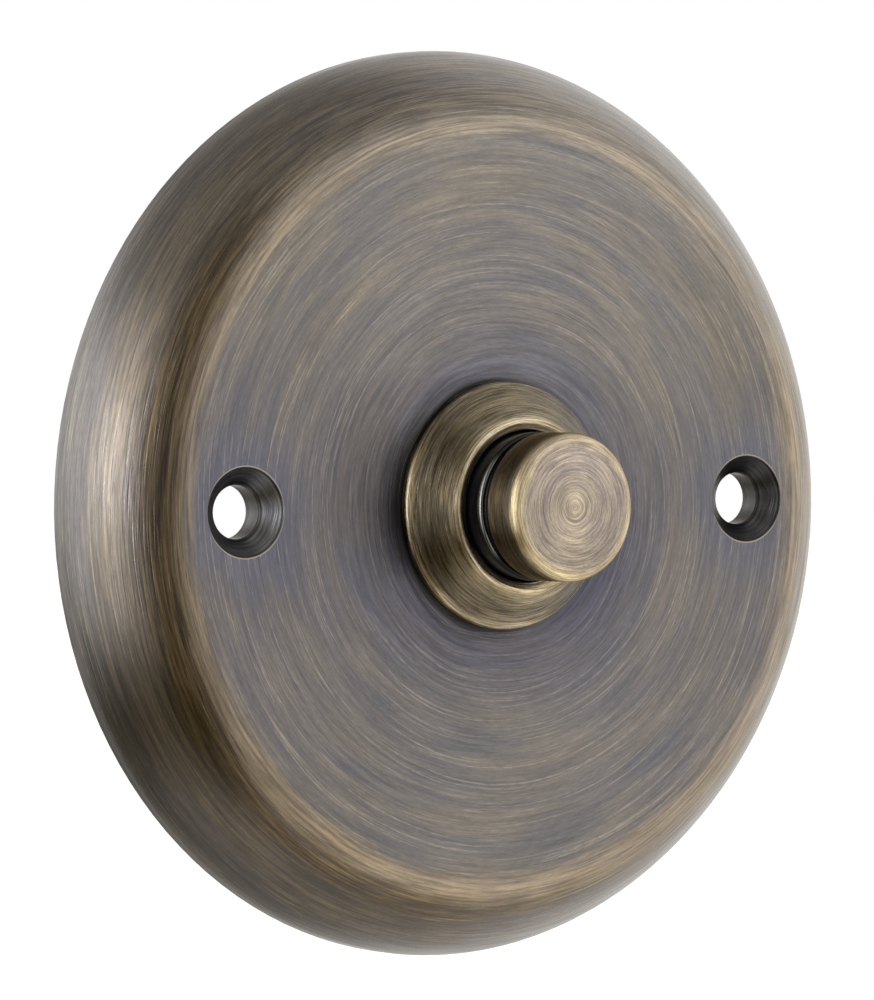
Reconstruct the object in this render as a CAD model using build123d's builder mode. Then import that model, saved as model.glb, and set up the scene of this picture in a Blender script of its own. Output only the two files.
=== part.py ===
from build123d import *
import os
from math import cos, radians

# Round bell push: a hollow brass plate, a coned collar and a sprung button over two contacts.
# Millimetres, +Z up. The front looks along -Y, and the origin is the centre of the wall plane.
# A height is measured forwards from the wall, so a height h lies at Y = -h.

# Cover plate
plate_radius = 38.0
plate_depth = 9.5
edge_width = 7.2
edge_land = 1.0
edge_fullness = 0.36
face_wall = 3.3
rim_wall = 3.0
cavity_edge_width = 6.4
cavity_land = 0.6

# Wall screw holes, countersunk for flat heads
screw_hole_radius = 2.2
countersink_radius = 3.7
countersink_angle = 90.0
screw_edge_distance = 12.25

# Collar and its threaded barrel
collar_radius = 10.3
collar_height = 3.56
collar_rim_height = 0.5
collar_rim_fillet = 0.38
crest_fillet = 0.42
mouth_radius = 6.35
mouth_drop = 0.2
lip_width = 0.72
barrel_wall = 1.4
barrel_chamfer = 0.6
barrel_clearance = 0.15
thread_clearance = 0.05

# Lock washer and lock nut
washer_thickness = 0.8
washer_tooth_count = 12
washer_notch_depth = 1.3
washer_notch_width = 2.6
nut_across_flats = 22.0
nut_thickness = 3.0
nut_chamfer = 0.8

# Button: moulded plunger and drawn cap
travel = 2.5
head_clearance = 0.2
shoulder_height = 5.2
shoulder_fillet = 0.3
neck_recess = 0.35
cap_rim_height = 6.15
cap_length = 3.75
cap_radius = 6.12
cap_wall = 0.6
cap_fillet = 0.8
cap_clearance = 0.02
head_top_wall = 2.0
skirt_length = 5.2
pocket_clearance = 0.725
stem_radius = 2.2
stem_clearance = 0.06

# Guide bush, pressed in from behind against a step in the barrel
bush_step = 0.25
bush_length = 5.0
bush_gap = 0.5
bush_clearance = 0.02
seat_depth = 0.4
seat_clearance = 0.2
bush_chamfer = 0.4

# Return spring
wire_radius = 0.275
spring_radius = 3.7
spring_turns = 4.5

# Retaining clip in the stem's groove
clip_thickness = 0.6
clip_radius = 4.4
clip_mouth = 2.8
clip_pocket_offset = 2.3
clip_pocket_radius = 1.1
clip_clearance = 0.05
groove_depth = 0.5

# Contact bridge and its rivet
bridge_recess = 0.3
bridge_side_gap = 1.4
bridge_width = 4.0
bridge_thickness = 0.5
rivet_head_radius = 1.5
rivet_head_height = 0.6
rivet_shank_radius = 0.8
rivet_shank_length = 2.6
rivet_clearance = 0.02

# Terminal housing, screwed on the rear of the barrel
housing_wall = 1.45
housing_floor = 4.25
housing_fillet = 0.8
socket_depth = 5.0
housing_gap = 0.4
chamber_step = 0.6
contact_gap = 0.05
relief_clearance = 0.7
relief_depth = 0.5
rib_width = 1.2
rib_height = 2.5
rib_length = 15.0

# Contacts and terminals
contact_thickness = 0.5
contact_width = 3.0
contact_side_gap = 0.2
slot_clearance = 0.05
terminal_offset = 4.2
tab_width = 4.8
insert_radius = 1.9
insert_length = 3.0
insert_clearance = 0.01
terminal_washer_radius = 2.6
terminal_washer_thickness = 0.5
terminal_screw_radius = 1.5
terminal_screw_clearance = 0.03
terminal_hole_clearance = 0.2
terminal_head_radius = 2.7
terminal_head_height = 1.9
terminal_head_fillet = 0.7
terminal_slot_width = 0.8
terminal_slot_depth = 1.0
terminal_end_gap = 0.4

# Heights that follow from the sizes
cavity_height = plate_depth - face_wall
crest_height = plate_depth + collar_height
mouth_height = crest_height - mouth_drop
nut_front = cavity_height - washer_thickness
nut_back = nut_front - nut_thickness
housing_front = nut_back - housing_gap
barrel_end = housing_front - socket_depth
shoulder_top = plate_depth + shoulder_height
cap_rim = plate_depth + cap_rim_height
cap_front = cap_rim + cap_length
head_bottom = shoulder_top - skirt_length
pocket_top = shoulder_top - head_top_wall
bush_front = head_bottom - travel - bush_gap
bush_back = bush_front - bush_length
spring_foot = bush_front - seat_depth
clip_front = bush_back - clip_clearance
clip_back = clip_front - clip_thickness
bridge_front = barrel_end + bridge_recess
bridge_back = bridge_front - bridge_thickness
contact_front = bridge_back - travel - contact_gap
contact_back = contact_front - contact_thickness
floor_back = contact_back - housing_floor
tab_back = floor_back - contact_thickness
head_front = tab_back - terminal_washer_thickness
head_back = head_front - terminal_head_height

# Radii and places that follow from the sizes
crest_radius = mouth_radius + lip_width
bush_radius = mouth_radius + bush_step
barrel_radius = bush_radius + barrel_wall
washer_radius = nut_across_flats / 2
head_radius = mouth_radius - head_clearance
neck_radius = head_radius - neck_recess
spring_outer_radius = spring_radius + wire_radius
pocket_radius = spring_outer_radius + pocket_clearance
housing_radius = barrel_radius + thread_clearance + housing_wall
chamber_radius = barrel_radius - chamber_step
relief_radius = rivet_head_radius + relief_clearance
contact_inner = relief_radius + contact_side_gap
contact_outer = chamber_radius - contact_side_gap
bridge_length = 2 * (chamber_radius - bridge_side_gap)
cap_bore_radius = cap_radius - cap_wall
groove_radius = stem_radius - groove_depth
insert_bore_radius = terminal_screw_radius + terminal_screw_clearance
hole_offset = plate_radius - screw_edge_distance

# Sections are drawn as radius and height, then turned about the button's axis
section = Plane(origin=(0, 0, 0), x_dir=(1, 0, 0), z_dir=(0, 0, -1))


def facing(height):
    """Plane parallel to the wall at a height, facing forwards, with x to the right and y up."""
    return Plane.XZ.offset(height)


def rings(part, radius, height):
    """Circular edges of a turned part at a radius and a height."""
    circles = part.edges().filter_by(GeomType.CIRCLE)
    at_radius = circles.filter_by(lambda edge: abs(edge.radius - radius) < 1e-4)
    return at_radius.filter_by(lambda edge: abs(edge.center().Y + height) < 1e-4)


def outline(points):
    """Face of a turned part's section, from its (radius, height) corners."""
    with BuildSketch(section) as half_section:
        with BuildLine():
            Polyline(*points, close=True)
        make_face()
    return half_section.sketch


os.makedirs("parts", exist_ok=True)

# Cover plate: flat face, cushioned edge and an even wall, hollow behind
flat_radius = plate_radius - edge_width
cavity_radius = plate_radius - rim_wall
cavity_flat_radius = cavity_radius - cavity_edge_width
with BuildPart() as cover_plate:
    with BuildSketch(section):
        with BuildLine():
            face = Line((0, plate_depth), (flat_radius, plate_depth))
            cushion = Bezier(
                face @ 1,
                (flat_radius + edge_fullness * edge_width, plate_depth),
                (plate_radius, edge_land + edge_fullness * (plate_depth - edge_land)),
                (plate_radius, edge_land),
            )
            rim = Polyline(cushion @ 1, (plate_radius, 0), (cavity_radius, 0), (cavity_radius, cavity_land))
            hollow = Bezier(
                rim @ 1,
                (cavity_radius, cavity_land + edge_fullness * (cavity_height - cavity_land)),
                (cavity_flat_radius + edge_fullness * cavity_edge_width, cavity_height),
                (cavity_flat_radius, cavity_height),
            )
            Polyline(hollow @ 1, (0, cavity_height), (0, plate_depth))
        make_face()
    revolve(axis=Axis.Y)
    with Locations(facing(plate_depth)):
        Hole(barrel_radius + barrel_clearance)
    with Locations(*[facing(plate_depth) * Location((side * hole_offset, 0, 0)) for side in (-1, 1)]):
        CounterSinkHole(screw_hole_radius, countersink_radius, counter_sink_angle=countersink_angle)
cover_plate.part.label = "cover_plate"

# Collar: coned front with a rolled lip, and the barrel that passes through the plate
with BuildPart() as collar:
    corners = [
        (barrel_radius, plate_depth),
        (collar_radius, plate_depth),
        (collar_radius, plate_depth + collar_rim_height),
        (crest_radius, crest_height),
        (mouth_radius, mouth_height),
        (mouth_radius, bush_front),
        (bush_radius, bush_front),
        (bush_radius, barrel_end),
        (barrel_radius, barrel_end),
    ]
    revolve(outline(corners), axis=Axis.Y)
    fillet(rings(collar.part, collar_radius, plate_depth + collar_rim_height), collar_rim_fillet)
    fillet(rings(collar.part, crest_radius, crest_height), crest_fillet)
    chamfer(rings(collar.part, barrel_radius, barrel_end), min(barrel_chamfer, barrel_wall / 2))
collar.part.label = "collar"

# Lock washer: flat ring with teeth round its rim
with BuildPart() as lock_washer:
    with BuildSketch(facing(nut_front)):
        Circle(washer_radius)
        Circle(barrel_radius + barrel_clearance, mode=Mode.SUBTRACT)
        with PolarLocations(washer_radius, washer_tooth_count):
            Rectangle(2 * washer_notch_depth, washer_notch_width, mode=Mode.SUBTRACT)
    extrude(amount=washer_thickness)
lock_washer.part.label = "lock_washer"

# Lock nut: thin hexagon with its corners turned off on both faces
nut_corner_radius = nut_across_flats / 2 / cos(radians(30))
with BuildPart() as lock_nut:
    with BuildSketch(facing(nut_back)):
        RegularPolygon(nut_across_flats / 2, 6, major_radius=False)
    extrude(amount=nut_thickness)
    corners = [
        (0, nut_back),
        (nut_across_flats / 2, nut_back),
        (nut_corner_radius, nut_back + nut_chamfer),
        (nut_corner_radius, nut_front - nut_chamfer),
        (nut_across_flats / 2, nut_front),
        (0, nut_front),
    ]
    revolve(outline(corners), axis=Axis.Y, mode=Mode.INTERSECT)
    with Locations(facing(nut_front)):
        Hole(barrel_radius + thread_clearance)
lock_nut.part.label = "lock_nut"

# Guide bush: seats on the step in the barrel, with a recess that holds the spring's foot
with BuildPart() as guide_bush:
    corners = [
        (stem_radius + stem_clearance, bush_back),
        (bush_radius - bush_clearance, bush_back),
        (bush_radius - bush_clearance, bush_front),
        (spring_outer_radius + seat_clearance, bush_front),
        (spring_outer_radius + seat_clearance, spring_foot),
        (stem_radius + stem_clearance, spring_foot),
    ]
    revolve(outline(corners), axis=Axis.Y)
    chamfer(rings(guide_bush.part, bush_radius - bush_clearance, bush_back), bush_chamfer)
guide_bush.part.label = "guide_bush"

# Return spring: open coil with both ends ground flat
spring_length = pocket_top - spring_foot
with BuildPart() as return_spring:
    with BuildLine():
        coil = Helix(
            spring_length / spring_turns,
            spring_length,
            spring_radius,
            center=(0, -spring_foot, 0),
            direction=(0, -1, 0),
        )
    with BuildSketch(Plane(origin=coil @ 0, z_dir=coil % 0)):
        Circle(wire_radius)
    sweep(is_frenet=True)
    with BuildSketch(facing(spring_foot)):
        Circle(pocket_radius)
    extrude(amount=spring_length, mode=Mode.INTERSECT)
return_spring.part.label = "return_spring"

# Plunger: guide stem, skirted head over the spring, shoulder, neck and the spigot for the cap
with BuildPart() as plunger:
    corners = [
        (0, bridge_front),
        (stem_radius, bridge_front),
        (stem_radius, clip_back),
        (groove_radius, clip_back),
        (groove_radius, clip_front),
        (stem_radius, clip_front),
        (stem_radius, pocket_top),
        (pocket_radius, pocket_top),
        (pocket_radius, head_bottom),
        (head_radius, head_bottom),
        (head_radius, shoulder_top),
        (neck_radius, shoulder_top),
        (neck_radius, cap_rim),
        (cap_bore_radius - cap_clearance, cap_rim),
        (cap_bore_radius - cap_clearance, cap_front - cap_wall),
        (0, cap_front - cap_wall),
    ]
    revolve(outline(corners), axis=Axis.Y)
    fillet(rings(plunger.part, head_radius, shoulder_top), min(shoulder_fillet, 0.9 * neck_recess))
    with Locations(facing(bridge_front).rotated((180, 0, 0))):
        Hole(rivet_shank_radius, depth=rivet_shank_length)
plunger.part.label = "plunger"

# Button cap: drawn cup with a rolled front edge
with BuildPart() as button_cap:
    corners = [
        (cap_bore_radius, cap_rim),
        (cap_radius, cap_rim),
        (cap_radius, cap_front),
        (0, cap_front),
        (0, cap_front - cap_wall),
        (cap_bore_radius, cap_front - cap_wall),
    ]
    revolve(outline(corners), axis=Axis.Y)
    fillet(rings(button_cap.part, cap_radius, cap_front), cap_fillet)
button_cap.part.label = "button_cap"

# Retaining clip: flat disc sprung over the groove through its mouth, with a pocket on each side
with BuildPart() as retaining_clip:
    with BuildSketch(facing(clip_back)):
        Circle(clip_radius)
        Circle(groove_radius + clip_clearance, mode=Mode.SUBTRACT)
        with Locations((0, -clip_radius)):
            Rectangle(clip_mouth, 2 * clip_radius, mode=Mode.SUBTRACT)
        with PolarLocations(clip_pocket_offset, 2, start_angle=30, angular_range=120, endpoint=True):
            Circle(clip_pocket_radius, mode=Mode.SUBTRACT)
    extrude(amount=clip_thickness)
retaining_clip.part.label = "retaining_clip"

# Contact bridge and the rivet that holds it on the stem
with BuildPart() as contact_bridge:
    with BuildSketch(facing(bridge_back)):
        SlotOverall(bridge_length, bridge_width)
        Circle(rivet_shank_radius, mode=Mode.SUBTRACT)
    extrude(amount=bridge_thickness)
contact_bridge.part.label = "contact_bridge"

with BuildPart() as bridge_rivet:
    corners = [
        (0, bridge_back - rivet_head_height),
        (rivet_head_radius, bridge_back - rivet_head_height),
        (rivet_head_radius, bridge_back),
        (rivet_shank_radius - rivet_clearance, bridge_back),
        (rivet_shank_radius - rivet_clearance, bridge_front + rivet_shank_length),
        (0, bridge_front + rivet_shank_length),
    ]
    revolve(outline(corners), axis=Axis.Y)
    fillet(rings(bridge_rivet.part, rivet_head_radius, bridge_back - rivet_head_height), rivet_head_height / 2)
bridge_rivet.part.label = "bridge_rivet"

# Terminal housing: socket for the barrel, contact chamber, floor and the rib between the terminals
with BuildPart() as terminal_housing:
    corners = [
        (0, floor_back),
        (housing_radius, floor_back),
        (housing_radius, housing_front),
        (barrel_radius + thread_clearance, housing_front),
        (barrel_radius + thread_clearance, barrel_end),
        (chamber_radius, barrel_end),
        (chamber_radius, contact_back),
        (relief_radius, contact_back),
        (relief_radius, contact_back - relief_depth),
        (0, contact_back - relief_depth),
    ]
    revolve(outline(corners), axis=Axis.Y)
    fillet(rings(terminal_housing.part, housing_radius, floor_back), housing_fillet)
    with BuildSketch(facing(floor_back)):
        Rectangle(rib_width, rib_length)
    extrude(amount=-rib_height)
    for side in (-1, 1):
        with BuildSketch(facing(contact_back)):
            with Locations((side * (contact_outer - contact_thickness / 2), 0)):
                Rectangle(contact_thickness + 2 * slot_clearance, contact_width + 2 * slot_clearance)
        extrude(amount=-housing_floor, mode=Mode.SUBTRACT)
        with BuildSketch(facing(floor_back)):
            with Locations((side * terminal_offset, 0)):
                Circle(insert_radius)
        extrude(amount=insert_length, mode=Mode.SUBTRACT)
terminal_housing.part.label = "terminal_housing"

for piece in (
    cover_plate,
    collar,
    lock_washer,
    lock_nut,
    guide_bush,
    return_spring,
    plunger,
    button_cap,
    retaining_clip,
    contact_bridge,
    bridge_rivet,
    terminal_housing,
):
    export_step(piece.part, f"parts/{piece.part.label}.step")

# Contacts and terminals, a set on each side
for side, name in ((-1, "left"), (1, "right")):
    # Contact: pad in the chamber, leg through the floor and a tab behind it for the screw
    pad_length = contact_outer - contact_inner
    leg_middle = side * (contact_outer - contact_thickness / 2)
    with BuildPart() as contact:
        with BuildSketch(facing(contact_back)):
            with Locations((side * (contact_inner + pad_length / 2), 0)):
                Rectangle(pad_length, contact_width)
        extrude(amount=contact_thickness)
        with BuildSketch(facing(contact_back)):
            with Locations((leg_middle, 0)):
                Rectangle(contact_thickness, contact_width)
        extrude(amount=-housing_floor - contact_thickness)
        with BuildSketch(facing(tab_back)):
            with Locations((side * (contact_inner + pad_length / 2), 0)):
                Rectangle(pad_length, contact_width)
            with Locations((side * terminal_offset, 0)):
                Circle(tab_width / 2)
                Circle(terminal_screw_radius + terminal_hole_clearance, mode=Mode.SUBTRACT)
        extrude(amount=contact_thickness)
    contact.part.label = f"contact_{name}"

    # Threaded insert in the floor
    with BuildPart() as insert:
        with BuildSketch(facing(floor_back)):
            with Locations((side * terminal_offset, 0)):
                Circle(insert_radius - insert_clearance)
                Circle(insert_bore_radius, mode=Mode.SUBTRACT)
        extrude(amount=insert_length - insert_clearance)
    insert.part.label = f"terminal_insert_{name}"

    # Flat washer
    with BuildPart() as washer:
        with BuildSketch(facing(head_front)):
            with Locations((side * terminal_offset, 0)):
                Circle(terminal_washer_radius)
                Circle(terminal_screw_radius + terminal_hole_clearance, mode=Mode.SUBTRACT)
        extrude(amount=terminal_washer_thickness)
    washer.part.label = f"terminal_washer_{name}"

    # Slotted pan head screw
    with BuildPart() as screw:
        with BuildSketch(facing(head_back)):
            with Locations((side * terminal_offset, 0)):
                Circle(terminal_head_radius)
        extrude(amount=terminal_head_height)
        fillet(screw.faces().sort_by(Axis.Y)[-1].edges(), terminal_head_fillet)
        with BuildSketch(facing(head_front)):
            with Locations((side * terminal_offset, 0)):
                Circle(terminal_screw_radius)
        extrude(amount=floor_back + insert_length - terminal_end_gap - head_front)
        with BuildSketch(facing(head_back)):
            with Locations((side * terminal_offset, 0)):
                Rectangle(terminal_slot_width, 3 * terminal_head_radius)
        extrude(amount=terminal_slot_depth, mode=Mode.SUBTRACT)
    screw.part.label = f"terminal_screw_{name}"

    for piece in (contact, insert, washer, screw):
        export_step(piece.part, f"parts/{piece.part.label}.step")
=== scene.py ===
import bpy
import math
from mathutils import Matrix, Vector


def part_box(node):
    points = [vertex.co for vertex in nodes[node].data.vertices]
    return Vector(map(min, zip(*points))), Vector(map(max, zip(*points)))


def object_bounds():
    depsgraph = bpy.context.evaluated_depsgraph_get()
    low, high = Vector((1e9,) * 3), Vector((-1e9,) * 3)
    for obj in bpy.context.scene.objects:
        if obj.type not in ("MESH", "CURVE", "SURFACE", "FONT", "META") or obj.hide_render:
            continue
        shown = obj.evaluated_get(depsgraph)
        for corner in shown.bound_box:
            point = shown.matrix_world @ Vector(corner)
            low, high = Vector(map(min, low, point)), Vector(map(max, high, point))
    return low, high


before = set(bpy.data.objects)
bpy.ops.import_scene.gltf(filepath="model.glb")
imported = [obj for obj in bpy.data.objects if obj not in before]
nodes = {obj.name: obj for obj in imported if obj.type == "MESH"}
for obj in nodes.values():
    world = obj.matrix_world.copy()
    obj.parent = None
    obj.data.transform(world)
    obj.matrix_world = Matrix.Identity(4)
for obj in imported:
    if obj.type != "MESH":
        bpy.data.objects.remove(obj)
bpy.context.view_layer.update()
print("frame loaded:", len(nodes), "nodes")

# All places below are in millimetres, as radius from the button's axis and height from the wall.
metresToMm = 1000.0


def addNode(tree, kind, **options):
    node = tree.nodes.new(kind)
    for option, value in options.items():
        setattr(node, option, value)
    return node


def feed(tree, socket, value):
    # a socket is linked, anything else is the input's own value, for a colour without its alpha
    if isinstance(value, bpy.types.NodeSocket):
        tree.links.new(value, socket)
    elif value is not None:
        socket.default_value = (*value, 1.0) if socket.type == "RGBA" else value


def calc(tree, operation, a, b=None, c=None):
    node = addNode(tree, "ShaderNodeMath", operation=operation)
    for socket, value in zip(node.inputs, (a, b, c)):
        feed(tree, socket, value)
    return node.outputs[0]


def vectorCalc(tree, operation, a, b=None):
    node = addNode(tree, "ShaderNodeVectorMath", operation=operation)
    feed(tree, node.inputs[0], a)
    feed(tree, node.inputs[1], b)
    return node.outputs["Value"] if operation in ("DOT_PRODUCT", "LENGTH") else node.outputs[0]


def remap(tree, value, low, high, toLow=0.0, toHigh=1.0):
    # smooth step from toLow to toHigh while the value goes from low to high
    node = addNode(tree, "ShaderNodeMapRange", interpolation_type="SMOOTHSTEP")
    for socket, item in zip(node.inputs, (value, low, high, toLow, toHigh)):
        feed(tree, socket, item)
    return node.outputs[0]


def mixColour(tree, factor, a, b):
    node = addNode(tree, "ShaderNodeMix", data_type="RGBA", clamp_factor=True)
    for socket, item in ((node.inputs[0], factor), (node.inputs[6], a), (node.inputs[7], b)):
        feed(tree, socket, item)
    return node.outputs[2]


def swing(tree, value, amount):
    # a factor that goes from 1 - amount / 2 to 1 + amount / 2 while the value goes from 0 to 1
    return calc(tree, "MULTIPLY_ADD", value, amount, 1.0 - amount / 2)


def changeBy(tree, factor, part, change):
    # the factor, raised or lowered by the change where the part is full
    return calc(tree, "MULTIPLY", factor, calc(tree, "MULTIPLY_ADD", part, change, 1.0))


def newGroup(name, inputs, outputs):
    # inputs are lists of (name, socket type, default), outputs of (name, socket type)
    group = bpy.data.node_groups.new(name, "ShaderNodeTree")
    for label, kind, default in inputs:
        socket = group.interface.new_socket(name=label, in_out="INPUT", socket_type=kind)
        if default is not None:
            socket.default_value = default
    for label, kind in outputs:
        group.interface.new_socket(name=label, in_out="OUTPUT", socket_type=kind)
    return group, group.nodes.new("NodeGroupInput").outputs, group.nodes.new("NodeGroupOutput").inputs


def place(tree, group, **values):
    # puts a group in a material; an underscore in a name stands for a space
    node = tree.nodes.new("ShaderNodeGroup")
    node.node_tree = group
    for name, value in values.items():
        feed(tree, node.inputs[name.replace("_", " ")], value)
    return node.outputs


# Turned surface: radius, height, direction round the axis and length along the section.
# Inside a screw hole, above its floor, the same values are taken round the hole's own axis.
def makeTurnedGroup():
    group, given, out = newGroup("turnedSurface", [
        ("Hole offset", "NodeSocketFloat", 0.0),
        ("Hole radius", "NodeSocketFloat", 0.0),
        ("Hole floor", "NodeSocketFloat", -100.0),
    ], [
        ("Radius", "NodeSocketFloat"),
        ("Height", "NodeSocketFloat"),
        ("Along", "NodeSocketFloat"),
        ("Round", "NodeSocketVector"),
        ("Flat", "NodeSocketVector"),
        ("Inside hole", "NodeSocketFloat"),
        ("Hole distance", "NodeSocketFloat"),
        ("Side", "NodeSocketFloat"),
    ])
    position = addNode(group, "ShaderNodeTexCoord").outputs["Object"]
    scaled = vectorCalc(group, "MULTIPLY", position, (metresToMm,) * 3)
    split = addNode(group, "ShaderNodeSeparateXYZ")
    feed(group, split.inputs[0], scaled)
    side = calc(group, "SIGN", split.outputs[0])
    centre = addNode(group, "ShaderNodeCombineXYZ")
    feed(group, centre.inputs[0], calc(group, "MULTIPLY", side, given["Hole offset"]))
    flat = vectorCalc(group, "MULTIPLY", scaled, (1.0, 0.0, 1.0))
    fromHole = vectorCalc(group, "SUBTRACT", flat, centre.outputs[0])
    holeDistance = vectorCalc(group, "LENGTH", fromHole)
    height = calc(group, "MULTIPLY", split.outputs[1], -1.0)
    inside = calc(group, "MULTIPLY", calc(group, "LESS_THAN", holeDistance, given["Hole radius"]),
                  calc(group, "GREATER_THAN", height, given["Hole floor"]))
    chosen = addNode(group, "ShaderNodeMix", data_type="VECTOR")
    feed(group, chosen.inputs[0], inside)
    feed(group, chosen.inputs[4], flat)
    feed(group, chosen.inputs[5], fromHole)
    local = chosen.outputs[1]
    radius = vectorCalc(group, "LENGTH", local)
    slope = calc(group, "MULTIPLY_ADD", inside, 2.0, -1.0)  # a countersink falls where a fillet rises
    feed(group, out["Radius"], radius)
    feed(group, out["Height"], height)
    feed(group, out["Along"], calc(group, "MULTIPLY_ADD", height, slope, radius))
    feed(group, out["Round"], vectorCalc(group, "NORMALIZE", local))
    feed(group, out["Flat"], local)
    feed(group, out["Inside hole"], inside)
    feed(group, out["Hole distance"], holeDistance)
    feed(group, out["Side"], side)
    return group


# Lathe wander: how far the brush strays from its circle, slowly changing, from -0.5 to 0.5
latheWander = {
    "perMm": 0.12,
    "scale": 1.6,
}


def makeWanderGroup():
    group, given, out = newGroup("latheWander", [
        ("Round", "NodeSocketVector", None),
        ("Along", "NodeSocketFloat", 0.0),
        ("Shift", "NodeSocketFloat", 0.0),
    ], [("Value", "NodeSocketFloat")])
    slow = addNode(group, "ShaderNodeCombineXYZ")
    shifted = calc(group, "MULTIPLY_ADD", given["Along"], latheWander["perMm"], given["Shift"])
    feed(group, slow.inputs[1], shifted)
    bend = addNode(group, "ShaderNodeTexNoise", noise_dimensions="3D")
    feed(group, bend.inputs["Vector"], vectorCalc(group, "ADD", given["Round"], slow.outputs[0]))
    bend.inputs["Scale"].default_value = latheWander["scale"]
    bend.inputs["Detail"].default_value = 0.0
    feed(group, out["Value"], calc(group, "SUBTRACT", bend.outputs[0], 0.5))
    return group


# Lathe streaks: noise that is long round the axis and short across it, shifted by the drift in mm
def makeStreakGroup():
    group, given, out = newGroup("latheStreaks", [
        ("Flat", "NodeSocketVector", None),
        ("Along", "NodeSocketFloat", 0.0),
        ("Per mm", "NodeSocketFloat", 4.0),
        ("Per mm round", "NodeSocketFloat", 0.15),
        ("Shift", "NodeSocketFloat", 0.0),
        ("Drift", "NodeSocketFloat", 0.0),
        ("Detail", "NodeSocketFloat", 2.0),
        ("Low", "NodeSocketFloat", 0.4),
        ("High", "NodeSocketFloat", 0.6),
    ], [("Value", "NodeSocketFloat")])
    along = calc(group, "ADD", given["Along"], given["Drift"])
    turned = addNode(group, "ShaderNodeVectorMath", operation="SCALE")
    feed(group, turned.inputs[0], given["Flat"])
    feed(group, turned.inputs["Scale"], given["Per mm round"])
    lift = addNode(group, "ShaderNodeCombineXYZ")
    feed(group, lift.inputs[1], calc(group, "MULTIPLY_ADD", along, given["Per mm"], given["Shift"]))
    noise = addNode(group, "ShaderNodeTexNoise", noise_dimensions="3D")
    feed(group, noise.inputs["Vector"], vectorCalc(group, "ADD", turned.outputs[0], lift.outputs[0]))
    noise.inputs["Scale"].default_value = 1.0
    feed(group, noise.inputs["Detail"], given["Detail"])
    noise.inputs["Roughness"].default_value = 0.6
    feed(group, out["Value"], remap(group, noise.outputs[0], given["Low"], given["High"]))
    return group


# Ring band: full on a ring of the turned surface, fading to nothing at its reach
def makeRingGroup():
    group, given, out = newGroup("ringBand", [
        ("Radius", "NodeSocketFloat", 0.0),
        ("Height", "NodeSocketFloat", 0.0),
        ("Ring radius", "NodeSocketFloat", 10.0),
        ("Ring height", "NodeSocketFloat", 10.0),
        ("Reach", "NodeSocketFloat", 1.0),
    ], [("Value", "NodeSocketFloat")])
    across = calc(group, "SUBTRACT", given["Radius"], given["Ring radius"])
    along = calc(group, "SUBTRACT", given["Height"], given["Ring height"])
    squares = calc(group, "MULTIPLY_ADD", across, across, calc(group, "MULTIPLY", along, along))
    distance = calc(group, "SQRT", squares)
    feed(group, out["Value"], remap(group, distance, 0.0, given["Reach"], 1.0, 0.0))
    return group


turnedGroup = makeTurnedGroup()
wanderGroup = makeWanderGroup()
streakGroup = makeStreakGroup()
ringGroup = makeRingGroup()


def newMaterial(name):
    material = bpy.data.materials.new(name)
    material.use_nodes = True
    tree = material.node_tree
    return material, tree, tree.nodes["Principled BSDF"].inputs


def dress(material, *names):
    for name in names:
        nodes[name].data.materials.clear()
        nodes[name].data.materials.append(material)


def greyOf(tree, value):
    node = addNode(tree, "ShaderNodeCombineXYZ")
    for socket in node.inputs:
        feed(tree, socket, value)
    return node.outputs[0]


def addBump(tree, shader, relief, depth, strength):
    # the depth is in mm, for a relief from 0 to 1
    bump = addNode(tree, "ShaderNodeBump")
    bump.inputs["Strength"].default_value = strength
    bump.inputs["Distance"].default_value = depth / metresToMm
    feed(tree, bump.inputs["Height"], relief)
    feed(tree, shader["Normal"], bump.outputs[0])


# Direction of the brush marks: round the button's axis
def brushDirection(tree):
    position = addNode(tree, "ShaderNodeTexCoord").outputs["Object"]
    return vectorCalc(tree, "NORMALIZE", vectorCalc(tree, "CROSS_PRODUCT", (0.0, 1.0, 0.0), position))


# Marks of the brush on aged brass. Each layer: how many per mm across and round the axis, the shift and
# detail of its noise, and the noise's low and high
brushLayers = {
    "broad": (0.25, 0.065, 3.0, 2.0, 0.32, 0.68),
    "bundle": (1.1, 0.10, 17.0, 1.0, 0.34, 0.66),
    "fine": (3.0, 0.20, 29.0, 2.0, 0.30, 0.70),
    "hair": (6.2, 0.15, 41.0, 1.0, 0.56, 0.76),
    "scratch": (6.5, 0.06, 77.0, 0.0, 0.65, 0.76),
    "darkLine": (4.0, 0.17, 91.0, 1.0, 0.52, 0.74),
    "grain": (8.0, 1.3, 55.0, 1.0, 0.25, 0.75),
}
# how the marks stray from their circle: shift of the wander, and how far in mm
brushPaths = {
    "strayed": (29.0, 0.6),
    "crossed": (77.0, 1.1),
}

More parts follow.
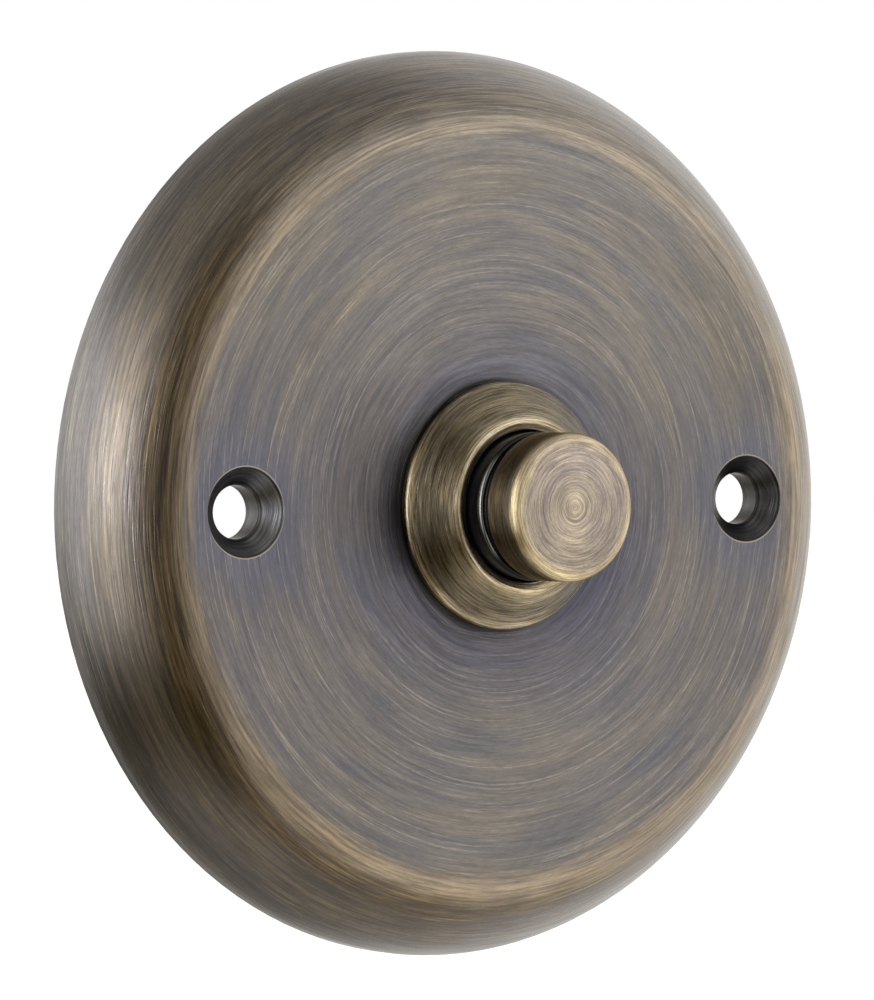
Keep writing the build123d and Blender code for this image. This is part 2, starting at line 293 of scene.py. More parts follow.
# Aged brass: grey and brown patina, warm hairlines from the brush, brass showing where it is rubbed, and
# painted light, shade and highlights where the rings and directions below place them
agedBrass = {
    "grey": (0.1435, 0.144, 0.166),
    "brown": (0.2065, 0.183, 0.161),
    "hairline": (0.465, 0.418, 0.357),
    "darkLine": (0.050, 0.042, 0.036),
    "roughness": (0.24, 0.34),
    "anisotropy": 0.5,
    "edgeTint": (1.0, 1.0, 1.0),
    "coat": 0.35,
    "coatRoughness": 0.22,
    "streakDepth": 0.012,
    "bumpStrength": 0.5,
    # how strongly the fine marks and the grain lighten and darken the patina
    "contrast": 0.22,
    "grain": 0.18,
    # grey or brown: how much the broad patches and the bundles decide, the fine marks do the rest
    "broadShare": 0.51,
    "bundleShare": 0.3,
    # finer marks, shorter marks and straying, all as factors
    "fineness": 1.0,
    "aroundScale": 1.0,
    "wander": 1.0,
    "hairAmount": 0.44,
    "darkAmount": 0.18,
    # the hairlines gather in bundles and patches and break up along their length: gain and least of each
    "hairInBundles": (0.8, 0.2),
    "hairInPatches": (0.6, 0.6),
    "hairBroken": (0.9, 0.45),
    "scratchAmount": 0.75,
    # the hairlines thin out towards the axis: radii, and what is left of them inside
    "calm": (0.0, 0.1, 1.0),
    # each ring: radius, height, reach, strength, darkest and lightest colour of its streaks, and where it
    # leans to: direction in degrees from +X towards +Z, cosines where it starts and is full, least
    # elsewhere. Some rings are patina or rubbed brass, others are painted shadow, painted shade or painted
    # highlights, and their leans put that painted light on one side
    "rings": [],
    # how much of a ring comes and goes with the bundles
    "ringPatchiness": 0.4,
    # radii where the flat face ends
    "faceEnd": (29.5, 33.5),
    # painted light and shade within the face's end, lighter or darker towards a direction: direction,
    # cosines, change
    "paintedLightAndShade": [],
    # painted light and shade on the outer part, lighter or darker towards a direction: direction, cosines,
    # radii where it starts and is full, change
    "paintedEdgeLight": [],
    # where the flat face is warmer or cooler: direction, cosines, tint
    "tinted": [],
    # screw holes, see the plate
    "holes": None,
}


def makeAgedBrass(name, changes):
    settings = {**agedBrass, **changes}
    material, tree, shader = newMaterial(name)
    holes = settings["holes"]
    turned = place(tree, turnedGroup, Hole_offset=holes["offset"], Hole_radius=holes["radius"],
                   Hole_floor=holes["floor"]) if holes else place(tree, turnedGroup)

    def path(kind):
        shift, reach = brushPaths[kind]
        value = place(tree, wanderGroup, Round=turned["Round"], Along=turned["Along"], Shift=shift)["Value"]
        return calc(tree, "MULTIPLY", value, reach * settings["wander"])

    def layer(kind, drift):
        perMm, around, shift, detail, low, high = brushLayers[kind]
        return place(tree, streakGroup, Flat=turned["Flat"], Along=turned["Along"],
                     Per_mm=perMm * settings["fineness"], Per_mm_round=around * settings["aroundScale"],
                     Shift=shift, Drift=drift, Detail=detail, Low=low, High=high)["Value"]

    def towards(angle):
        a = math.radians(angle)
        return vectorCalc(tree, "DOT_PRODUCT", turned["Round"], (math.cos(a), 0.0, math.sin(a)))

    strayed, crossed = path("strayed"), path("crossed")
    broad, bundle, fine, hair = (layer(kind, strayed) for kind in ("broad", "bundle", "fine", "hair"))
    scratch = layer("scratch", crossed)
    darkLine, grain = layer("darkLine", strayed), layer("grain", strayed)

    # patina: grey and brown, the tint round the holes, then the rings, some of them painted shadow, shade or
    # highlights
    broadShare, bundleShare = settings["broadShare"], settings["bundleShare"]
    tone = calc(tree, "MULTIPLY_ADD", bundle, bundleShare, calc(tree, "MULTIPLY", broad, broadShare))
    tone = calc(tree, "MULTIPLY_ADD", fine, 1.0 - broadShare - bundleShare, tone)
    colour = mixColour(tree, tone, settings["grey"], settings["brown"])
    if holes:
        near = remap(tree, turned["Hole distance"], holes["radius"], holes["radius"] + holes["tintReach"],
                     holes["tintAmount"], 0.0)
        colour = mixColour(tree, near, colour, holes["tint"])
    for ringRadius, ringHeight, reach, strength, dark, light, *leans in settings["rings"]:
        ring = place(tree, ringGroup, Radius=turned["Radius"], Height=turned["Height"],
                     Ring_radius=ringRadius, Ring_height=ringHeight, Reach=reach)["Value"]
        for angle, low, high, least in leans:
            ring = calc(tree, "MULTIPLY", ring, remap(tree, towards(angle), low, high, least, 1.0))
        patchy = strength * settings["ringPatchiness"]
        amount = calc(tree, "MULTIPLY", ring, calc(tree, "MULTIPLY_ADD", bundle, patchy, strength - patchy))
        colour = mixColour(tree, amount, colour, mixColour(tree, fine, dark, light))

    # lighter and darker: marks, grain, and painted light and shade by direction
    marks = calc(tree, "MULTIPLY_ADD", fine, 1.0 - bundleShare, calc(tree, "MULTIPLY", bundle, bundleShare))
    gain = swing(tree, marks, settings["contrast"])
    gain = calc(tree, "MULTIPLY", gain, swing(tree, grain, settings["grain"]))
    onFace = remap(tree, turned["Radius"], *settings["faceEnd"], 1.0, 0.0)
    for angle, low, high, change in settings["paintedLightAndShade"]:
        part = calc(tree, "MULTIPLY", remap(tree, towards(angle), low, high), onFace)
        gain = changeBy(tree, gain, part, change)
    for angle, low, high, inner, outer, change in settings["paintedEdgeLight"]:
        outside = remap(tree, turned["Radius"], inner, outer)
        part = calc(tree, "MULTIPLY", remap(tree, towards(angle), low, high), outside)
        gain = changeBy(tree, gain, part, change)
    colour = vectorCalc(tree, "MULTIPLY", colour, greyOf(tree, gain))
    for angle, low, high, tint in settings["tinted"]:
        part = calc(tree, "MULTIPLY", remap(tree, towards(angle), low, high), onFace)
        colour = vectorCalc(tree, "MULTIPLY", colour, mixColour(tree, part, (1.0, 1.0, 1.0), tint))
    darkened = calc(tree, "MULTIPLY", darkLine, settings["darkAmount"])
    colour = mixColour(tree, darkened, colour, settings["darkLine"])

    # hairlines
    gathered = calc(tree, "MULTIPLY", calc(tree, "MULTIPLY_ADD", bundle, *settings["hairInBundles"]),
                    calc(tree, "MULTIPLY_ADD", broad, *settings["hairInPatches"]))
    scratched = calc(tree, "MULTIPLY", scratch, settings["scratchAmount"])
    lines = calc(tree, "MAXIMUM", calc(tree, "MULTIPLY", hair, gathered), scratched)
    lines = calc(tree, "MULTIPLY", lines, calc(tree, "MULTIPLY_ADD", grain, *settings["hairBroken"]))
    inner, outer, least = settings["calm"]
    lines = calc(tree, "MULTIPLY", lines, remap(tree, turned["Radius"], inner, outer, least, 1.0))
    lines = calc(tree, "MULTIPLY", lines, settings["hairAmount"])
    colour = mixColour(tree, lines, colour, settings["hairline"])
    roughness = remap(tree, bundle, 0.0, 1.0, *settings["roughness"])

    # bare cut inside the screw holes, with painted light and shade across it, a painted highlight on its rim
    # and painted shade in its bore
    if holes:
        cut = mixColour(tree, fine, holes["dark"], holes["light"])
        paintedCutLight = remap(tree, towards(0.0), *holes["paintedCutLight"])
        paintedCutLight = changeBy(tree, paintedCutLight, turned["Side"], holes["sidePaintedCutLight"])
        cut = vectorCalc(tree, "MULTIPLY", cut, greyOf(tree, paintedCutLight))
        # two dark circles near the inner and outer ends of the cut
        toDarkCircle = calc(tree, "MINIMUM", *(
            calc(tree, "ABSOLUTE", calc(tree, "SUBTRACT", turned["Radius"], grooveRadius))
            for grooveRadius in holes["grooves"]))
        cut = mixColour(tree, remap(tree, toDarkCircle, *holes["grooveBand"]), cut, holes["groove"])
        # painted highlight on the rim of the cut, strongest at the top and the bottom
        inner, outer = holes["rimHighlightBand"]
        rim = remap(tree, turned["Hole distance"], holes["radius"] - inner, holes["radius"] - outer)
        upright = calc(tree, "ABSOLUTE", towards(90.0))
        rim = calc(tree, "MULTIPLY", rim, remap(tree, upright, *holes["rimHighlightSides"]))
        # painted shade: the bore darker
        cut = mixColour(tree, remap(tree, turned["Radius"], *holes["boreShadeBand"]), cut, holes["boreShade"])
        cut = mixColour(tree, rim, cut, settings["hairline"])
        colour = mixColour(tree, turned["Inside hole"], colour, cut)
        roughness = calc(tree, "MULTIPLY_ADD", turned["Inside hole"], holes["rougher"], roughness)

    feed(tree, shader["Base Color"], colour)
    shader["Metallic"].default_value = 1.0
    feed(tree, shader["Roughness"], roughness)
    shader["Anisotropic"].default_value = settings["anisotropy"]
    # a quarter turn, so that the highlight spreads across the marks
    shader["Anisotropic Rotation"].default_value = 0.25
    feed(tree, shader["Specular Tint"], settings["edgeTint"])
    feed(tree, shader["Tangent"], brushDirection(tree))
    shader["Coat Weight"].default_value = settings["coat"]
    shader["Coat Roughness"].default_value = settings["coatRoughness"]
    relief = calc(tree, "SUBTRACT", calc(tree, "MAXIMUM", hair, fine), darkLine)
    addBump(tree, shader, relief, settings["streakDepth"], settings["bumpStrength"])
    return material


# Plate: dark and bluish near the collar and the screw holes, rubbed to brass where the face turns over, with
# a painted shadow round the collar's foot and painted light and shade by direction
plateBrass = {
    "calm": (11.0, 18.0, 0.35),
    "holes": {
        "offset": 25.75,
        "radius": 3.78,
        "floor": 6.24,
        # patina left round them
        "tint": (0.131, 0.138, 0.180),
        "tintAmount": 0.6,
        "tintReach": 5.0,
        # the cut: its marks, how much rougher it is, and its painted light and shade, lighter towards its
        # right side, as cosines and factors, and how much that changes in the right hole, the other way
        # round in the left one
        "dark": (0.042, 0.043, 0.047),
        "light": (0.110, 0.114, 0.124),
        "rougher": 0.08,
        "paintedCutLight": (0.1, 0.95, 0.62, 2.0),
        "sidePaintedCutLight": -0.36,
        # radii of two dark circles near the inner and outer ends of the cut, then the bands of the dark
        # circles, of the bore's painted shade and of the rim's painted highlight: where they are full and
        # end, and how much of them
        "grooves": (2.38, 3.60),
        "groove": (0.008, 0.008, 0.008),
        "grooveBand": (0.02, 0.10, 0.7, 0.0),
        # the bore's painted shade
        "boreShade": (0.062, 0.058, 0.052),
        "boreShadeBand": (2.21, 2.30, 0.75, 0.0),
        "rimHighlightBand": (0.17, 0.03),
        # the rim's painted highlight, strongest at the top and the bottom: cosines and factors
        "rimHighlightSides": (0.3, 0.95, 0.25, 0.85),
    },
    "rings": [
        (38.6, 1.5, 6.4, 0.95, (0.126, 0.122, 0.117), (0.182, 0.169, 0.151)),
        (37.0, 6.0, 3.4, 0.85, (0.152, 0.127, 0.093), (0.256, 0.207, 0.142)),
        (33.9, 8.6, 3.4, 1.00, (0.095, 0.068, 0.032), (0.250, 0.181, 0.086)),
        (31.8, 9.5, 1.7, 0.85, (0.205, 0.160, 0.104), (0.368, 0.287, 0.188)),
        # painted highlight: a brighter golden band along the ridge towards the bottom
        (32.8, 9.2, 2.0, 0.55, (0.260, 0.200, 0.118), (0.420, 0.328, 0.208), (255.0, 0.10, 0.90, 0.0)),
        (34.5, 8.3, 7.5, 0.62, (0.103, 0.103, 0.101), (0.186, 0.180, 0.170), (85.0, 0.20, 0.95, 0.0)),
        (30.4, 9.5, 1.9, 0.50, (0.230, 0.180, 0.112), (0.400, 0.320, 0.210), (0.0, 0.84, 0.98, 0.0)),
        (10.3, 9.5, 9.8, 0.93, (0.060, 0.061, 0.099), (0.085, 0.086, 0.134), (272.0, -0.30, 0.60, 0.72)),
        (15.5, 9.5, 4.5, 0.80, (0.132, 0.119, 0.103), (0.178, 0.161, 0.139), (168.0, 0.87, 0.99, 0.0)),
        (11.6, 9.5, 2.0, 0.60, (0.105, 0.108, 0.145), (0.150, 0.154, 0.205), (90.0, 0.20, 0.75, 0.0)),
        # painted shadow round the collar's foot, strongest on its left: this ring and the next two
        (10.3, 9.5, 5.5, 0.50, (0.012, 0.011, 0.012), (0.024, 0.023, 0.024), (190.0, 0.93, 0.995, 0.0)),
        (10.3, 9.5, 2.6, 0.95, (0.012, 0.011, 0.012), (0.024, 0.023, 0.024), (190.0, -0.45, 0.80, 0.22)),
        (10.3, 9.5, 0.6, 1.20, (0.004, 0.004, 0.004), (0.006, 0.006, 0.006), (165.0, -0.75, 0.40, 0.20)),
    ],
    # painted light and shade: the face lighter towards the top and the bottom, darker towards the left and
    # the right
    "paintedLightAndShade": [
        (75.0, 0.15, 0.95, 0.22),
        (192.0, 0.30, 0.98, -0.10),
        (262.0, 0.30, 0.95, 0.05),
        (350.0, 0.40, 0.98, -0.07),
        (148.0, 0.80, 0.98, 0.04),
    ],
    "tinted": [
        (80.0, -0.10, 0.70, (1.01, 1.00, 0.935)),
        (190.0, 0.60, 0.95, (0.99, 1.00, 1.055)),
        (256.0, 0.65, 0.97, (1.01, 1.00, 0.950)),
    ],
    # painted light and shade on the outer part of the face and on the edge, lighter or darker by direction
    "paintedEdgeLight": [
        (121.0, 0.84, 0.99, 33.2, 35.0, -0.15),
        (153.0, 0.91, 0.99, 33.0, 34.5, 0.13),
        (32.0, 0.93, 0.995, 25.2, 26.6, -0.12),
        (32.0, 0.93, 0.995, 28.6, 30.2, 0.14),
        (78.0, 0.80, 0.96, 28.6, 29.8, 0.12),
        (78.0, 0.80, 0.96, 30.4, 31.8, -0.107),
        (222.0, 0.80, 0.98, 36.4, 38.0, -0.32),
        (290.0, 0.78, 0.97, 33.0, 35.2, -0.21),
    ],
}

# Collar: mostly bare brass, with painted highlights on its foot and its mouth and painted light and shade
# round it
collarBrass = {
    "grey": (0.072, 0.060, 0.043),
    "brown": (0.34, 0.282, 0.185),
    "coat": 0.15,
    "contrast": 0.7,
    "grain": 0.3,
    "bundleShare": 0.15,
    "fineness": 2.2,
    "aroundScale": 1.8,
    "wander": 0.2,
    "hairAmount": 0.75,
    "darkAmount": 0.7,
    "rings": [
        # painted light: lighter and greyer towards the right of the cone
        (8.6, 11.3, 3.4, 0.60, (0.250, 0.240, 0.222), (0.360, 0.350, 0.325), (0.0, 0.35, 0.85, 0.0)),
        # painted shade: darker round the foot on the left
        (10.3, 9.7, 3.2, 0.95, (0.030, 0.025, 0.016), (0.132, 0.110, 0.072), (180.0, 0.00, 0.85, 0.0)),
        (6.9, 13.0, 3.2, 0.45, (0.210, 0.172, 0.100), (0.460, 0.384, 0.232)),
        # painted highlight along the foot's rim, strongest at the lower left, faint at the top and the right
        (10.25, 9.95, 0.95, 1.15, (0.46, 0.37, 0.22), (0.80, 0.67, 0.45), (212.0, 0.00, 0.75, 0.12)),
        # rubbed brass on the mouth's rim with a painted highlight, then a brighter painted highlight on the
        # lip towards the upper left
        (6.9, 13.0, 1.25, 1.00, (0.28, 0.22, 0.12), (0.49, 0.40, 0.25)),
        (6.9, 13.1, 1.20, 1.20, (0.72, 0.59, 0.38), (1.00, 0.88, 0.63), (152.0, -0.10, 0.70, 0.0)),
    ],
    # painted light and shade: darker towards the upper left and the top, lighter towards the bottom and the
    # lower right
    "paintedLightAndShade": [
        (167.0, 0.45, 0.98, -0.25),
        (199.0, 0.90, 0.99, -0.22),
        (224.0, 0.93, 0.99, 0.10),
        (92.0, 0.25, 0.95, -0.16),
        (272.0, 0.25, 0.95, 0.24),
        (294.0, 0.82, 0.99, 0.42),
    ],
}

# Cap: the palest piece, worn by fingers, with a painted highlight on its front edge, painted shade on its
# side and painted light and shade across its face
capBrass = {
    "grey": (0.262, 0.230, 0.232),
    "brown": (0.51, 0.432, 0.335),
    "hairline": (0.80, 0.69, 0.52),
    "darkLine": (0.13, 0.105, 0.09),
    "edgeTint": (0.50, 0.42, 0.26),
    "roughness": (0.30, 0.38),
    "anisotropy": 0.85,
    "coat": 0.08,
    "contrast": 0.38,
    "grain": 0.3,
    "bundleShare": 0.2,
    "fineness": 2.6,
    "aroundScale": 2.4,
    "wander": 0.2,
    "hairAmount": 0.55,
    "darkAmount": 0.5,
    "rings": [
        # painted highlight: a lighter lobe down the face towards the bottom
        (3.4, 19.4, 3.6, 0.55, (0.43, 0.360, 0.240), (0.66, 0.56, 0.385), (268.0, 0.82, 0.995, 0.0)),
        (0.0, 19.4, 2.8, 0.70, (0.48, 0.410, 0.275), (0.76, 0.66, 0.450)),
        # painted shade and light near the face's edge: darker towards the bottom, lighter towards the top
        (4.4, 19.4, 2.4, 0.60, (0.141, 0.124, 0.125), (0.275, 0.233, 0.181), (262.0, 0.00, 0.85, 0.0)),
        (4.4, 19.4, 2.4, 0.60, (0.360, 0.320, 0.320), (0.660, 0.560, 0.440), (95.0, 0.00, 0.85, 0.0)),
        # painted shade on the side: darker and browner than the face, and darker still towards the top and
        # the bottom
        (6.12, 16.6, 3.5, 0.97, (0.112, 0.080, 0.030), (0.275, 0.206, 0.084)),
        (6.12, 17.9, 2.4, 0.95, (0.022, 0.017, 0.009), (0.055, 0.042, 0.022), (102.0, 0.30, 0.90, 0.0)),
        (6.12, 17.8, 2.6, 0.80, (0.022, 0.017, 0.009), (0.055, 0.042, 0.022), (270.0, 0.50, 0.95, 0.0)),
        # painted highlight on the front edge, strongest at the left
        (5.8, 19.05, 1.15, 1.15, (0.66, 0.52, 0.28), (1.00, 0.86, 0.55), (212.0, -0.1, 0.9, 0.42)),
    ],
    # painted shade: darker towards the upper left
    "paintedLightAndShade": [
        (138.0, 0.30, 0.95, -0.09),
    ],
}

dress(makeAgedBrass("plateBrass", plateBrass), "cover_plate")
dress(makeAgedBrass("collarBrass", collarBrass), "collar")
dress(makeAgedBrass("capBrass", capBrass), "button_cap")


# Black plunger: gloss on the rim of its head, duller where it rubs in the mouth
blackPlunger = {
    "colour": (0.004, 0.004, 0.006),
    "roughness": 0.12,
    "ior": 2.0,
    # the rim: radius, height and reach
    "rim": (6.2, 14.75, 0.7),
    # polished on its left side: cosines there, and how much
    "polish": (0.65, 0.95, 0.35, 1.0),
    # from the rim's strength to the specular level
    "gloss": (0.2, 0.7, 0.02, 1.0),
}


def makePlungerBlack():
    material, tree, shader = newMaterial("plungerBlack")
    turned = place(tree, turnedGroup)
    ringRadius, ringHeight, reach = blackPlunger["rim"]
    rim = place(tree, ringGroup, Radius=turned["Radius"], Height=turned["Height"],
                Ring_radius=ringRadius, Ring_height=ringHeight, Reach=reach)["Value"]
    toLeft = vectorCalc(tree, "DOT_PRODUCT", turned["Round"], (-1.0, 0.0, 0.0))
    polished = calc(tree, "MULTIPLY", rim, remap(tree, toLeft, *blackPlunger["polish"]))
    feed(tree, shader["Base Color"], blackPlunger["colour"])
    shader["Roughness"].default_value = blackPlunger["roughness"]
    shader["IOR"].default_value = blackPlunger["ior"]
    feed(tree, shader["Specular IOR Level"], remap(tree, polished, *blackPlunger["gloss"]))
    return material


# Finish of the small pieces: patches of tone, and a fine grain that stands up from the surface
smallFinish = {
    "metallic": 1.0,
    "patchScale": 260.0,
    "patchDetail": 3.0,
    "patchRange": (0.35, 0.70),
    "patchShare": 0.6,
    "grainScale": 900.0,
    "grainDetail": 2.0,
    "grainRange": (0.35, 0.65),
    "grainDepth": 0.004,
    # how far the grain is stretched along X, as on rolled strip
    "stretch": 1.0,
    "bumpStrength": 0.6,
    # how far the roughness goes up where it is worn and down where it isn't
    "roughnessSwing": 0.15,
}

housingBlack = {
    "colour": (0.036, 0.033, 0.031),
    "worn": (0.022, 0.020, 0.019),
    "roughness": 0.42,
    "metallic": 0.0,
    "grainScale": 2600.0,
    "grainDepth": 0.010,
}

bushWhite = {
    "colour": (0.74, 0.72, 0.66),
    "worn": (0.69, 0.66, 0.59),
    "roughness": 0.4,
    "metallic": 0.0,
}

contactBronze = {
    "colour": (0.70, 0.45, 0.28),
    "worn": (0.46, 0.28, 0.17),
    "roughness": 0.3,
    "stretch": 12.0,
}

springSteel = {
    "colour": (0.56, 0.56, 0.58),
    "worn": (0.36, 0.36, 0.38),
    "roughness": 0.3,
}


def makeSmallFinish(name, changes):
    settings = {**smallFinish, **changes}
    material, tree, shader = newMaterial(name)
    position = addNode(tree, "ShaderNodeTexCoord").outputs["Object"]
    stretched = vectorCalc(tree, "MULTIPLY", position, (1.0 / settings["stretch"], 1.0, 1.0))

    def noise(vector, kind):
        node = addNode(tree, "ShaderNodeTexNoise", noise_dimensions="3D")
        feed(tree, node.inputs["Vector"], vector)
        node.inputs["Scale"].default_value = settings[kind + "Scale"]
        node.inputs["Detail"].default_value = settings[kind + "Detail"]
        return node.outputs[0]

    patches, grain = noise(position, "patch"), noise(stretched, "grain")
    share, change = settings["patchShare"], settings["roughnessSwing"]
    patchy = remap(tree, patches, *settings["patchRange"])
    grainy = remap(tree, grain, *settings["grainRange"])
    mask = calc(tree, "MULTIPLY_ADD", patchy, share, calc(tree, "MULTIPLY", grainy, 1.0 - share))
    feed(tree, shader["Base Color"], mixColour(tree, mask, settings["worn"], settings["colour"]))
    rough, smooth = settings["roughness"] * (1.0 + change), settings["roughness"] * (1.0 - change)
    feed(tree, shader["Roughness"], remap(tree, mask, 0.0, 1.0, rough, smooth))
    shader["Metallic"].default_value = settings["metallic"]
    addBump(tree, shader, grain, settings["grainDepth"], settings["bumpStrength"])
    return material


# Machined brass: turning marks round the piece's own axis, a little tarnish between them
machinedBrass = {
    "bright": (0.74, 0.56, 0.29),
    "marked": (0.50, 0.36, 0.17),
    "tarnish": (0.30, 0.20, 0.10),
    "tarnishAmount": 0.40,
    "roughness": (0.24, 0.40),
    # marks and tarnish: how many per mm across and round the axis, shift of the noise, and its low and high
    "marksLayer": (4.5, 0.25, 13.0, 0.30, 0.70),
    "tarnishLayer": (0.35, 0.30, 47.0, 0.42, 0.75),
    "markDepth": 0.006,
    "bumpStrength": 0.6,
}


def makeMachinedBrass(name, offset=0.0, reach=0.0):
    material, tree, shader = newMaterial(name)
    turned = place(tree, turnedGroup, Hole_offset=offset, Hole_radius=reach)

    def layer(kind):
        perMm, around, shift, low, high = machinedBrass[kind]
        return place(tree, streakGroup, Flat=turned["Flat"], Along=turned["Along"], Per_mm=perMm,
                     Per_mm_round=around, Shift=shift, Low=low, High=high)["Value"]

    marks, tarnish = layer("marksLayer"), layer("tarnishLayer")
    colour = mixColour(tree, marks, machinedBrass["marked"], machinedBrass["bright"])
    tarnished = calc(tree, "MULTIPLY", tarnish, machinedBrass["tarnishAmount"])
    feed(tree, shader["Base Color"], mixColour(tree, tarnished, colour, machinedBrass["tarnish"]))
    feed(tree, shader["Roughness"], remap(tree, tarnish, 0.0, 1.0, *machinedBrass["roughness"]))
    shader["Metallic"].default_value = 1.0
    addBump(tree, shader, marks, machinedBrass["markDepth"], machinedBrass["bumpStrength"])
    return material


low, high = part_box("terminal_screw_right")
terminalOffset = (low[0] + high[0]) / 2 * metresToMm
dress(makePlungerBlack(), "plunger")
dress(makeSmallFinish("housingBlack", housingBlack), "terminal_housing")
dress(makeSmallFinish("bushWhite", bushWhite), "guide_bush")
dress(makeMachinedBrass("nutBrass"), "lock_nut", "bridge_rivet")
dress(makeMachinedBrass("terminalBrass", terminalOffset, terminalOffset),
      "terminal_insert_left", "terminal_insert_right", "terminal_washer_left", "terminal_washer_right",
      "terminal_screw_left", "terminal_screw_right")
dress(makeSmallFinish("contactBronze", contactBronze), "contact_bridge", "contact_left", "contact_right")
dress(makeSmallFinish("springSteel", springSteel), "return_spring", "retaining_clip", "lock_washer")
print("materials made")

# Studio: soft light from wide panels, told as patches of the sky, and a white ground for the camera.
# Azimuth is 0 towards the front and positive to the left, elevation is positive upwards, both in degrees.
studio = {
    "base": (0.52, 0.49, 0.44),
    # each panel: the azimuth where it rises from and to, and falls from and to, the same for elevation, and
    # its strength, which is below zero for a black flag
    "panels": [
        ((-168.0, -130.0, 2.0, 28.0), (-74.0, -36.0, 45.0, 74.0), 0.55),
        ((-130.0, -85.0, -62.0, -30.0), (-30.0, -5.0, 28.0, 52.0), 0.35),
        ((-85.0, -50.0, -20.0, 12.0), (6.0, 30.0, 50.0, 68.0), 0.35),
        ((-85.0, -50.0, -38.0, -8.0), (-66.0, -46.0, -34.0, -14.0), 0.36),
        ((-50.0, -22.0, 4.0, 24.0), (-45.0, -22.0, -2.0, 12.0), -0.20),
        ((57.0, 73.0, 88.0, 190.0), (-40.0, -5.0, 20.0, 52.0), 1.38),
        ((58.0, 72.0, 80.0, 100.0), (-12.0, 2.0, 24.0, 42.0), 0.35),
        ((105.0, 125.0, 175.0, 188.0), (-10.0, 5.0, 22.0, 42.0), 0.50),
        ((6.0, 24.0, 46.0, 60.0), (-75.0, -50.0, 50.0, 78.0), -0.34),
        ((30.0, 60.0, 130.0, 178.0), (-66.0, -46.0, -38.0, -18.0), -0.30),
    ],
    "panelColour": (1.0, 1.0, 1.02),
    # the white backdrop behind the object: azimuth, elevation, and where it fades, in degrees from there
    "backdrop": (-144.3, -1.5, 8.0, 22.0),
    "floorDrop": 0.030,
    "floorSize": 3.0,
    "floorColour": (0.9, 0.9, 0.9),
    "floorRoughness": 0.9,
    "floorGlow": 0.35,
}


def makeWorld():
    world = bpy.data.worlds.new("studio")
    bpy.context.scene.world = world
    world.use_nodes = True
    tree = world.node_tree
    tree.nodes.clear()
    direction = addNode(tree, "ShaderNodeTexCoord").outputs["Generated"]
    split = addNode(tree, "ShaderNodeSeparateXYZ")
    feed(tree, split.inputs[0], direction)
    left = calc(tree, "MULTIPLY", split.outputs[0], -1.0)
    front = calc(tree, "MULTIPLY", split.outputs[1], -1.0)
    azimuth = calc(tree, "DEGREES", calc(tree, "ARCTAN2", left, front))
    elevation = calc(tree, "DEGREES", calc(tree, "ARCSINE", split.outputs[2]))
    total = None
    for across, up, strength in studio["panels"]:
        patch = remap(tree, azimuth, across[0], across[1], 0.0, strength)
        for value, low, high, toLow, toHigh in ((azimuth, across[2], across[3], 1.0, 0.0),
                                                (elevation, up[0], up[1], 0.0, 1.0),
                                                (elevation, up[2], up[3], 1.0, 0.0)):
            patch = calc(tree, "MULTIPLY", patch, remap(tree, value, low, high, toLow, toHigh))
        total = patch if total is None else calc(tree, "ADD", total, patch)
    panelColour = addNode(tree, "ShaderNodeVectorMath", operation="SCALE")
    panelColour.inputs[0].default_value = studio["panelColour"]
    feed(tree, panelColour.inputs["Scale"], total)
    light = vectorCalc(tree, "ADD", panelColour.outputs[0], studio["base"])
    paths = addNode(tree, "ShaderNodeLightPath").outputs
    azimuth, elevation, inner, outer = (math.radians(value) for value in studio["backdrop"])
    behind = (-math.sin(azimuth) * math.cos(elevation), -math.cos(azimuth) * math.cos(elevation),
              math.sin(elevation))
    facing = vectorCalc(tree, "DOT_PRODUCT", direction, behind)
    facing = remap(tree, facing, math.cos(outer), math.cos(inner))
    mirrored = calc(tree, "MAXIMUM", paths["Is Glossy Ray"], paths["Is Transmission Ray"])
    white = calc(tree, "MAXIMUM", paths["Is Camera Ray"], calc(tree, "MULTIPLY", mirrored, facing))
    seen = mixColour(tree, white, light, (1.0, 1.0, 1.0))
    background = addNode(tree, "ShaderNodeBackground")
    feed(tree, background.inputs[0], seen)
    output = addNode(tree, "ShaderNodeOutputWorld")
    tree.links.new(background.outputs[0], output.inputs[0])


# Tall strip lamp on the left: the thin highlight down the fillets and the black ring
strip = {
    "azimuth": 75.0,
    "elevation": 4.0,
    "distance": 1.3,
    "width": 0.06,
    "height": 0.7,
    "radiance": 13.0,
}


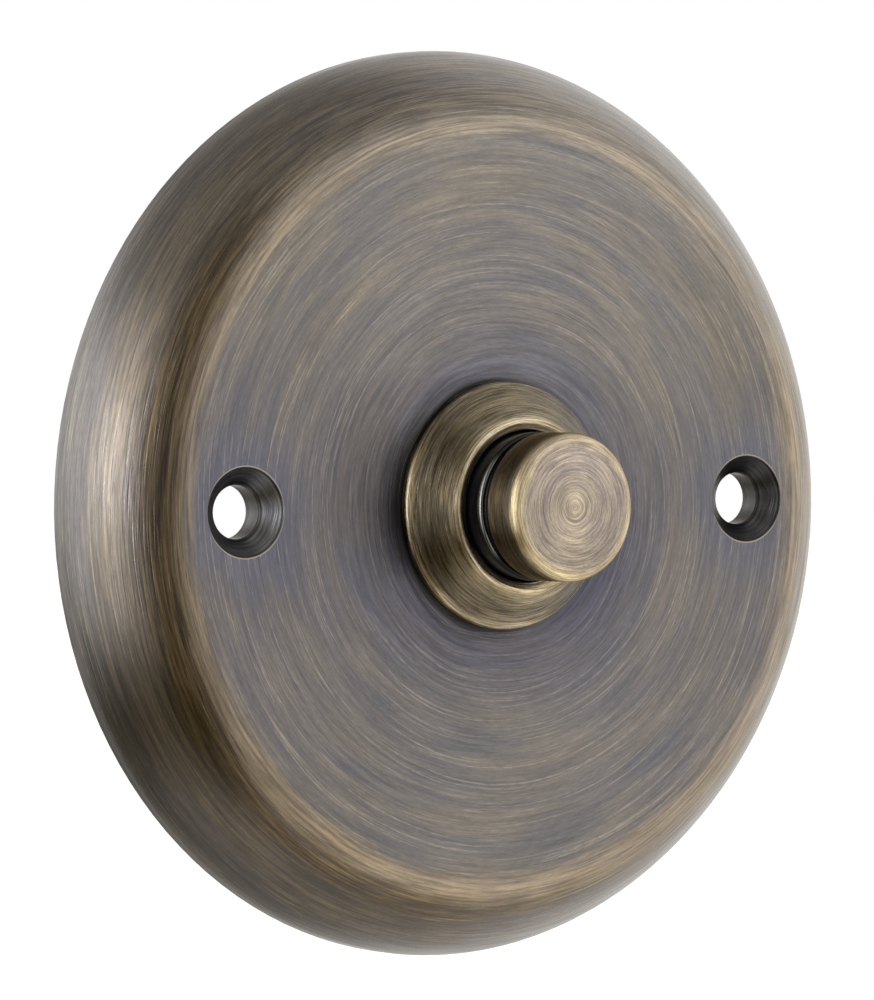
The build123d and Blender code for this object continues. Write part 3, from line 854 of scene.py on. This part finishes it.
def makeStripLamp():
    a, e = math.radians(strip["azimuth"]), math.radians(strip["elevation"])
    away = Vector((-math.sin(a) * math.cos(e), -math.cos(a) * math.cos(e), math.sin(e)))
    data = bpy.data.lights.new("stripLamp", "AREA")
    data.shape = "RECTANGLE"
    data.size = strip["width"]
    data.size_y = strip["height"]
    data.energy = strip["radiance"] * math.pi * strip["width"] * strip["height"]
    lamp = bpy.data.objects.new("stripLamp", data)
    bpy.context.scene.collection.objects.link(lamp)
    turn = away.to_track_quat("Z", "Y").to_matrix().to_4x4()
    lamp.matrix_world = Matrix.Translation(away * strip["distance"]) @ turn
    lamp.visible_camera = False


def makeFloor():
    low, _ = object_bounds()
    z = low[2] - studio["floorDrop"]
    half = studio["floorSize"] / 2
    mesh = bpy.data.meshes.new("floor")
    corners = [(-half, -half, z), (half, -half, z), (half, half, z), (-half, half, z)]
    mesh.from_pydata(corners, [], [(0, 1, 2, 3)])
    floor = bpy.data.objects.new("floor", mesh)
    bpy.context.scene.collection.objects.link(floor)
    floor.visible_glossy = False  # the metal mirrors the studio's own lower half
    material, tree, shader = newMaterial("floorWhite")
    feed(tree, shader["Base Color"], studio["floorColour"])
    shader["Roughness"].default_value = studio["floorRoughness"]
    feed(tree, shader["Emission Color"], (1.0, 1.0, 1.0))
    paths = addNode(tree, "ShaderNodeLightPath").outputs
    glow = calc(tree, "MULTIPLY", paths["Is Camera Ray"], studio["floorGlow"])
    feed(tree, shader["Emission Strength"], glow)
    mesh.materials.append(material)


makeWorld()
makeStripLamp()
makeFloor()
print("studio made")

# Camera at the photograph's viewing angle
view = {
    "azimuth": -35.655,
    "elevation": 1.528,
    "distance": 0.51916,
    "target": (0.00002, 0.0, 0.00028),
    "roll": -0.447,
    "lens": 221.86,
    "sensor": 36.0,
    "clip": (0.01, 10.0),
}


def makeCamera():
    a, e = math.radians(view["azimuth"]), math.radians(view["elevation"])
    back = Vector((math.sin(a) * math.cos(e), -math.cos(a) * math.cos(e), math.sin(e)))
    data = bpy.data.cameras.new("camera")
    data.lens = view["lens"]
    data.sensor_width = view["sensor"]
    data.clip_start, data.clip_end = view["clip"]
    camera = bpy.data.objects.new("camera", data)
    bpy.context.scene.collection.objects.link(camera)
    turn = back.to_track_quat("Z", "Y").to_matrix() @ Matrix.Rotation(math.radians(view["roll"]), 3, "Z")
    stand = Vector(view["target"]) + back * view["distance"]
    camera.matrix_world = Matrix.Translation(stand) @ turn.to_4x4()
    bpy.context.scene.camera = camera


makeCamera()
bpy.context.scene.view_settings.view_transform = "Standard"
